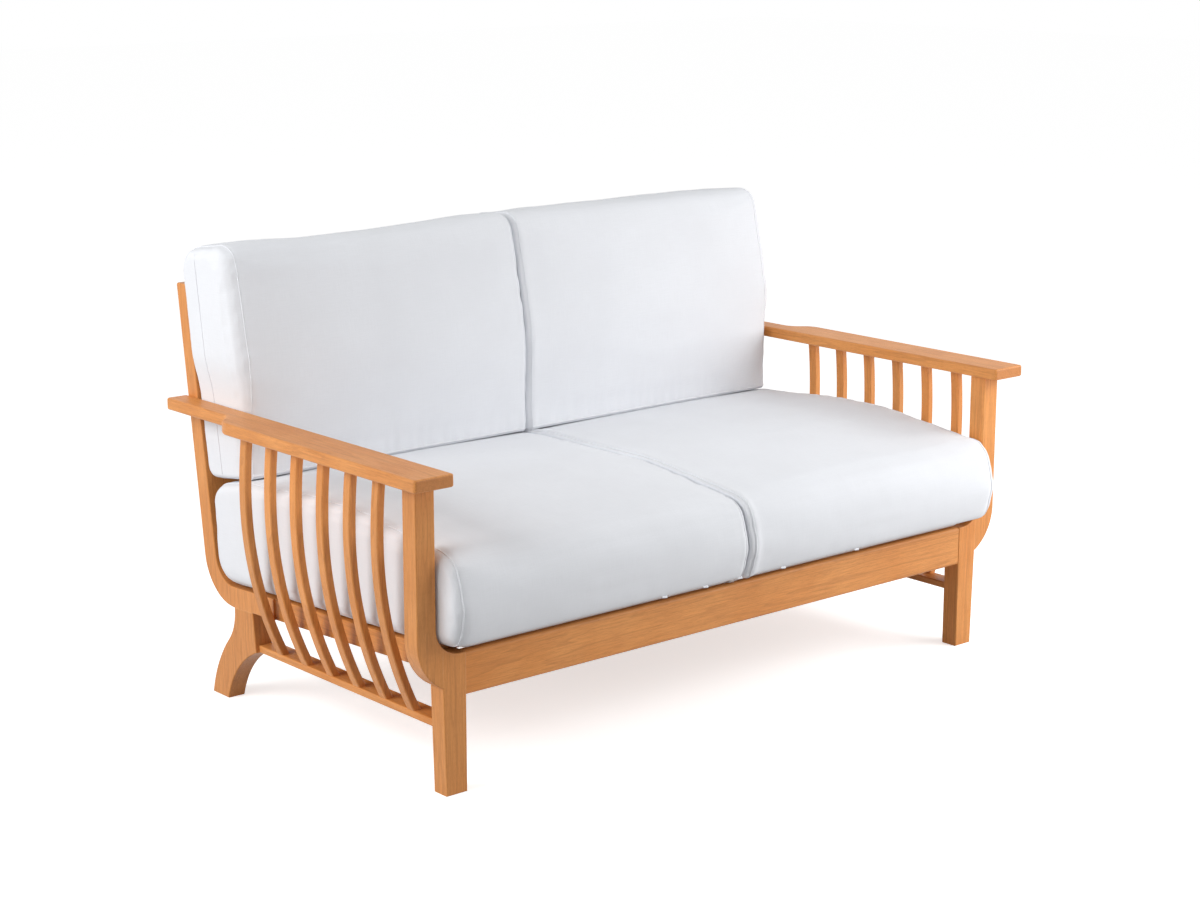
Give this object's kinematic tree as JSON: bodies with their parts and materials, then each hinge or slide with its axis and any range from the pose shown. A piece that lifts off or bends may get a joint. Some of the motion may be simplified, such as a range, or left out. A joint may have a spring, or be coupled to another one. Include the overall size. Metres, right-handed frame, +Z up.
{
  "type": "patio loveseat",
  "caption": "Two-seat patio loveseat: slatted timber frame with bowed arm slats, flat armrests and swept rear legs, with loose box seat and back cushions.",
  "frame": {"origin": "middle of the footprint, on the floor", "axes": "+Z up, +X along the seat to the right as seen from the front, +Y from the front to the back; the front faces -Y"},
  "size_m": [1.636, 0.9426, 0.9475],
  "materials": {
    "teak": "oiled, fine straight grain",
    "woven_fabric": "plain woven outdoor fabric",
    "steel": "stainless"
  },
  "bodies": {
    "frame": {"arm_bolts": "steel", "arm_slat_1_left": "teak", "arm_slat_1_right": "teak", "arm_slat_2_left": "teak", "arm_slat_2_right": "teak", "arm_slat_3_left": "teak", "arm_slat_3_right": "teak", "arm_slat_4_left": "teak", "arm_slat_4_right": "teak", "arm_slat_5_left": "teak", "arm_slat_5_right": "teak", "arm_slat_6_left": "teak", "arm_slat_6_right": "teak", "armrest_left": "teak", "armrest_right": "teak", "back_rail_low": "teak", "back_rail_top": "teak", "back_slat_1": "teak", "back_slat_10": "teak", "back_slat_11": "teak", "back_slat_2": "teak", "back_slat_3": "teak", "back_slat_4": "teak", "back_slat_5": "teak", "back_slat_6": "teak", "back_slat_7": "teak", "back_slat_8": "teak", "back_slat_9": "teak", "centre_bearer": "teak", "front_leg_left": "teak", "front_leg_right": "teak", "front_post_left": "teak", "front_post_right": "teak", "front_rail": "teak", "rear_leg_left": "teak", "rear_leg_right": "teak", "rear_post_left": "teak", "rear_post_right": "teak", "rear_rail": "teak", "seat_cleat_left": "teak", "seat_cleat_right": "teak", "seat_slat_1": "teak", "seat_slat_2": "teak", "seat_slat_3": "teak", "seat_slat_4": "teak", "seat_slat_5": "teak", "seat_slat_6": "teak", "seat_slat_7": "teak", "seat_slat_screws": "steel", "side_rail_left": "teak", "side_rail_right": "teak", "side_stretcher_left": "teak", "side_stretcher_right": "teak", "slat_dowels": "teak"},
    "seat_cushion_right_body": {"seat_cushion_right": "woven_fabric"},
    "seat_cushion_left_body": {"seat_cushion_left": "woven_fabric"},
    "back_cushion_right_body": {"back_cushion_right": "woven_fabric"},
    "back_cushion_left_body": {"back_cushion_left": "woven_fabric"}
  },
  "joints": [
    {"name": "seat_cushion_right_slide", "type": "slide", "parent": "frame", "child": "seat_cushion_right_body", "axis": [0, -0.9988, 0.0489], "range_m": [0, 0.35]},
    {"name": "seat_cushion_left_slide", "type": "slide", "parent": "frame", "child": "seat_cushion_left_body", "axis": [0, -0.9988, 0.0489], "range_m": [0, 0.35]},
    {"name": "back_cushion_right_lift", "type": "slide", "parent": "frame", "child": "back_cushion_right_body", "axis": [0, 0.1444, 0.9895], "range_m": [0, 0.45]},
    {"name": "back_cushion_left_lift", "type": "slide", "parent": "frame", "child": "back_cushion_left_body", "axis": [0, 0.1444, 0.9895], "range_m": [0, 0.45]}
  ]
}
